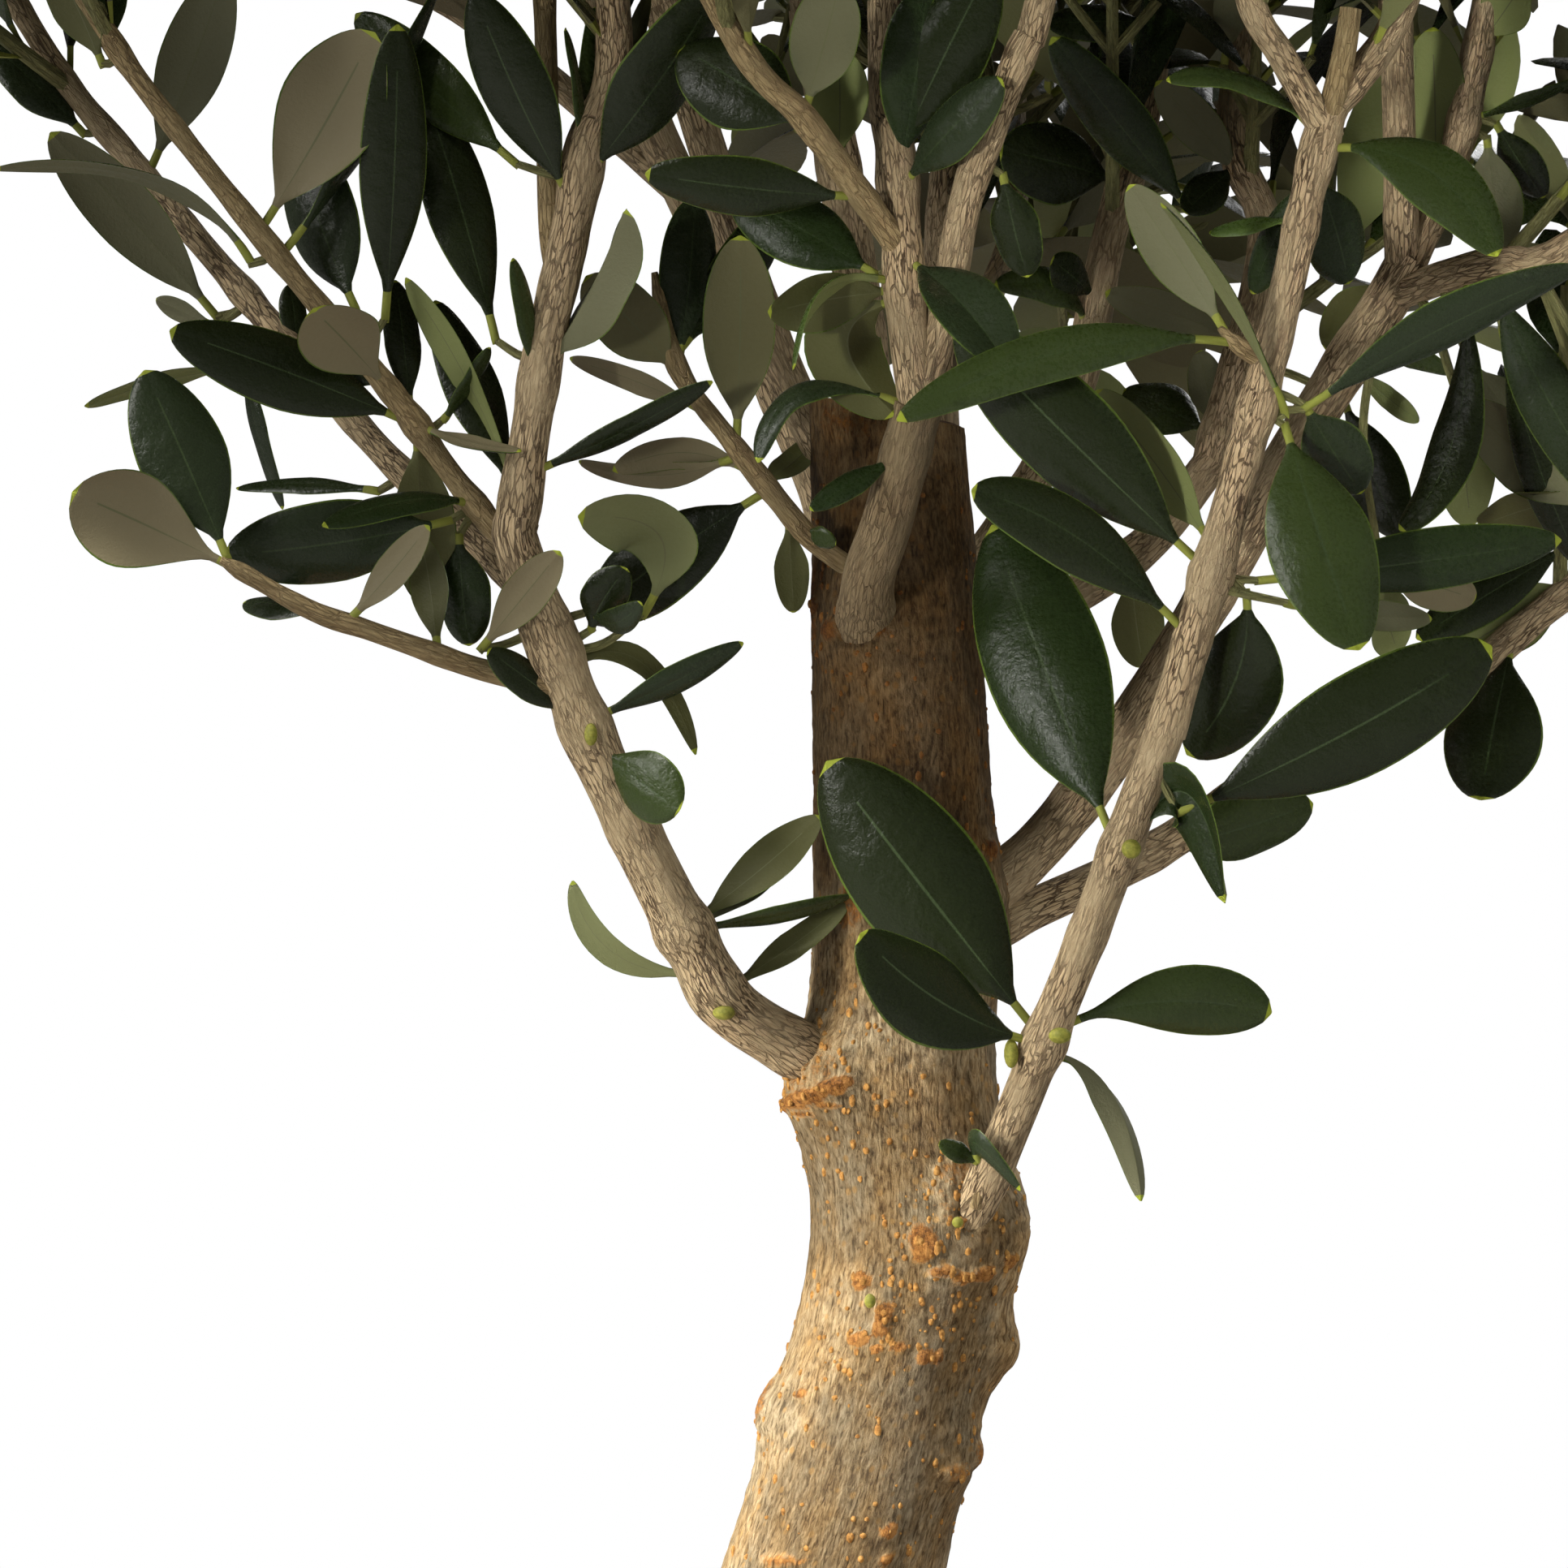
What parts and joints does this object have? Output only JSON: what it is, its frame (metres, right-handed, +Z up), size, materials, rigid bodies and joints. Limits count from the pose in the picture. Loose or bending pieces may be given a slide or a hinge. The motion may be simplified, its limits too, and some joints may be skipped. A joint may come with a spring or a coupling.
{
  "type": "potted olive tree",
  "caption": "Small potted olive tree with a leaning bare stem, a sawn leader, spreading boughs and a round leafy crown in a plain clay pot",
  "frame": {"origin": "centre of the pot's flat underside", "axes": "+Z up along the pot's axis, -Y towards the side the picture shows, +X to the right of that view"},
  "size_m": [0.4626, 0.4177, 0.9329],
  "materials": {
    "clay": "unglazed fired clay, matt",
    "soil": "dark crumbly potting soil",
    "bark": "smooth grey-brown bark with pores",
    "bough_bark": "tan bark with fine splits along it",
    "leaf": "glossy dark green above, matt grey-green below"
  },
  "bodies": {
    "root": {"pot": "clay", "soil": "soil", "trunk": "bark", "bough_left": "bough_bark", "bough_right_front": "bough_bark", "bough_front": "bough_bark", "bough_right_rear": "bough_bark", "bough_right_far": "bough_bark", "bough_back_right": "bough_bark", "bough_back_upper": "bough_bark", "bough_back": "bough_bark", "bough_back_left": "bough_bark", "bough_top": "bough_bark", "bough_top_left": "bough_bark", "foliage_left_inner": "leaf", "foliage_left_outer": "leaf", "foliage_left_rear": "leaf", "foliage_left_low": "leaf", "foliage_shoot_left": "leaf", "foliage_front_middle": "leaf", "foliage_front_left": "leaf", "foliage_front_right": "leaf", "foliage_right_front": "leaf", "foliage_right_rear": "leaf", "foliage_right_outer": "leaf", "foliage_right_low": "leaf", "foliage_back_right": "leaf", "foliage_back_upper": "leaf", "foliage_back": "leaf", "foliage_back_low": "leaf", "foliage_back_left": "leaf", "foliage_back_left_low": "leaf", "foliage_top": "leaf", "foliage_top_left": "leaf", "foliage_top_right": "leaf"}
  },
  "joints": []
}
